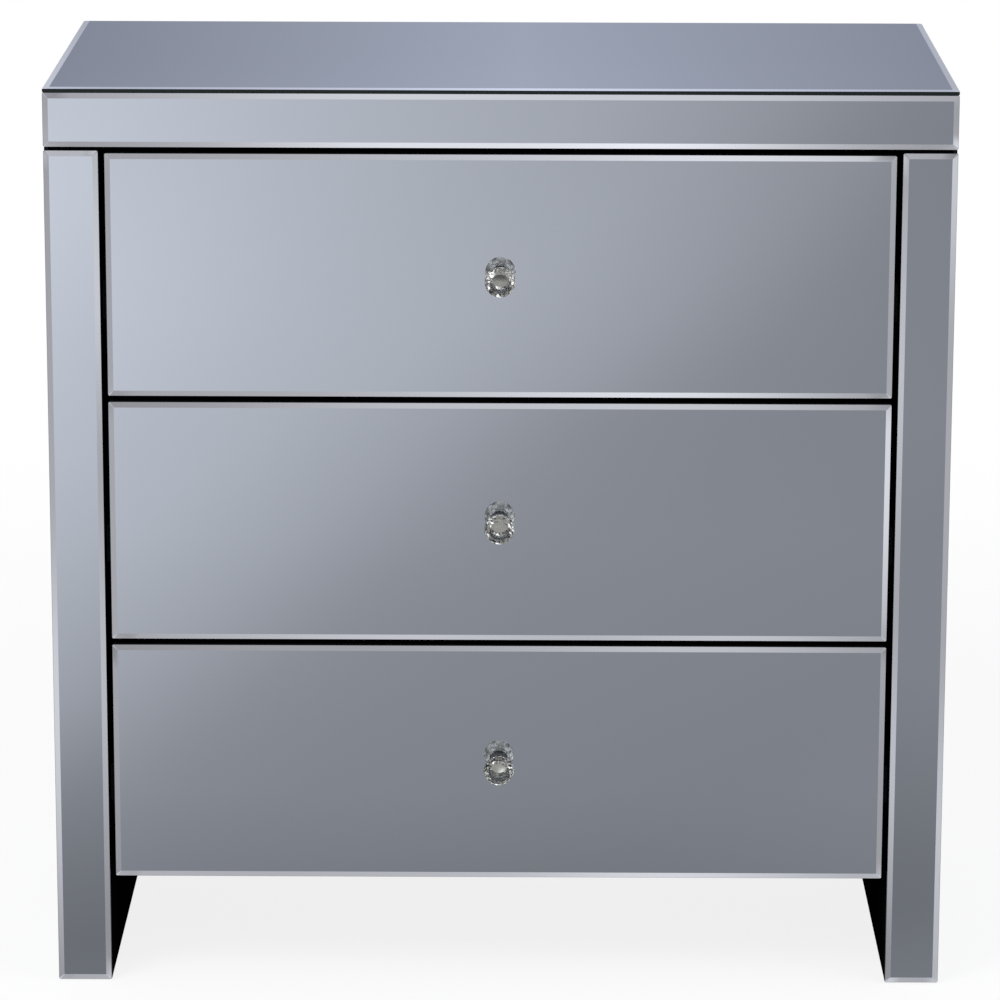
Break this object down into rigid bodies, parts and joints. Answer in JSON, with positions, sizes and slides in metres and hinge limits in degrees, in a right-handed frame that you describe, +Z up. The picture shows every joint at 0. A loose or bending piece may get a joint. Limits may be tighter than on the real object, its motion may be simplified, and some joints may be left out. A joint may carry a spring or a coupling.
{
  "type": "mirrored chest of drawers",
  "caption": "Mirrored chest of drawers: thick slab sides and top clad in bevelled mirror, open below, with cut-crystal knobs and drawers on telescopic slides.",
  "frame": {"origin": "on the floor, at the middle of the overall width and of the overall depth, knobs included", "axes": "+Z up, +X to the right of someone who faces the drawers, drawers face -Y and pull out along -Y"},
  "size_m": [0.8, 0.454, 0.82],
  "materials": {
    "silvered_mirror": "4 mm float glass silvered on its back, polished edges and a flat ground bevel",
    "black_painted_board": "fibreboard in satin black paint",
    "black_lined_panel": "thin hardboard with a matt black lining",
    "black_coated_steel": "cold-rolled steel with a black electrophoretic coat",
    "zinc_plated_steel": "bright zinc plate",
    "polished_chrome": "polished",
    "cut_crystal": "clear cut crystal glass, polished flat facets"
  },
  "bodies": {
    "cabinet": {"left_side_slab": "black_painted_board", "right_side_slab": "black_painted_board", "top_slab": "black_painted_board", "base_board": "black_painted_board", "upper_divider_rail": "black_painted_board", "lower_divider_rail": "black_painted_board", "back_panel": "black_painted_board", "top_mirror": "silvered_mirror", "front_fascia_mirror": "silvered_mirror", "left_fascia_mirror": "silvered_mirror", "right_fascia_mirror": "silvered_mirror", "left_post_mirror": "silvered_mirror", "right_post_mirror": "silvered_mirror", "left_side_mirror": "silvered_mirror", "right_side_mirror": "silvered_mirror", "top_drawer_left_cabinet_channel": "black_coated_steel", "top_drawer_right_cabinet_channel": "black_coated_steel", "middle_drawer_left_cabinet_channel": "black_coated_steel", "middle_drawer_right_cabinet_channel": "black_coated_steel", "bottom_drawer_left_cabinet_channel": "black_coated_steel", "bottom_drawer_right_cabinet_channel": "black_coated_steel"},
    "top_drawer": {"top_drawer_mirror": "silvered_mirror", "top_drawer_front_board": "black_painted_board", "top_drawer_left_side": "black_painted_board", "top_drawer_right_side": "black_painted_board", "top_drawer_back": "black_painted_board", "top_drawer_bottom": "black_lined_panel", "top_drawer_knob_cup": "polished_chrome", "top_drawer_knob_crystal": "cut_crystal", "top_drawer_knob_screw": "zinc_plated_steel", "top_drawer_left_drawer_channel": "black_coated_steel", "top_drawer_right_drawer_channel": "black_coated_steel"},
    "top_drawer_slide_carriage": {"top_drawer_left_middle_channel": "black_coated_steel", "top_drawer_right_middle_channel": "black_coated_steel"},
    "middle_drawer": {"middle_drawer_mirror": "silvered_mirror", "middle_drawer_front_board": "black_painted_board", "middle_drawer_left_side": "black_painted_board", "middle_drawer_right_side": "black_painted_board", "middle_drawer_back": "black_painted_board", "middle_drawer_bottom": "black_lined_panel", "middle_drawer_knob_cup": "polished_chrome", "middle_drawer_knob_crystal": "cut_crystal", "middle_drawer_knob_screw": "zinc_plated_steel", "middle_drawer_left_drawer_channel": "black_coated_steel", "middle_drawer_right_drawer_channel": "black_coated_steel"},
    "middle_drawer_slide_carriage": {"middle_drawer_left_middle_channel": "black_coated_steel", "middle_drawer_right_middle_channel": "black_coated_steel"},
    "bottom_drawer": {"bottom_drawer_mirror": "silvered_mirror", "bottom_drawer_front_board": "black_painted_board", "bottom_drawer_left_side": "black_painted_board", "bottom_drawer_right_side": "black_painted_board", "bottom_drawer_back": "black_painted_board", "bottom_drawer_bottom": "black_lined_panel", "bottom_drawer_knob_cup": "polished_chrome", "bottom_drawer_knob_crystal": "cut_crystal", "bottom_drawer_knob_screw": "zinc_plated_steel", "bottom_drawer_left_drawer_channel": "black_coated_steel", "bottom_drawer_right_drawer_channel": "black_coated_steel"},
    "bottom_drawer_slide_carriage": {"bottom_drawer_left_middle_channel": "black_coated_steel", "bottom_drawer_right_middle_channel": "black_coated_steel"}
  },
  "joints": [
    {"name": "top_drawer_slide", "type": "slide", "parent": "cabinet", "child": "top_drawer", "axis": [0, -1, 0], "range_m": [0, 0.34]},
    {"name": "top_drawer_slide_middle", "type": "slide", "parent": "cabinet", "child": "top_drawer_slide_carriage", "axis": [0, -1, 0], "range_m": [0, 0.17]},
    {"name": "middle_drawer_slide", "type": "slide", "parent": "cabinet", "child": "middle_drawer", "axis": [0, -1, 0], "range_m": [0, 0.34]},
    {"name": "middle_drawer_slide_middle", "type": "slide", "parent": "cabinet", "child": "middle_drawer_slide_carriage", "axis": [0, -1, 0], "range_m": [0, 0.17]},
    {"name": "bottom_drawer_slide", "type": "slide", "parent": "cabinet", "child": "bottom_drawer", "axis": [0, -1, 0], "range_m": [0, 0.34]},
    {"name": "bottom_drawer_slide_middle", "type": "slide", "parent": "cabinet", "child": "bottom_drawer_slide_carriage", "axis": [0, -1, 0], "range_m": [0, 0.17]}
  ],
  "couplings": [
    {"joint": "top_drawer_slide_middle", "follows": "top_drawer_slide", "ratio": 0.5},
    {"joint": "middle_drawer_slide_middle", "follows": "middle_drawer_slide", "ratio": 0.5},
    {"joint": "bottom_drawer_slide_middle", "follows": "bottom_drawer_slide", "ratio": 0.5}
  ]
}
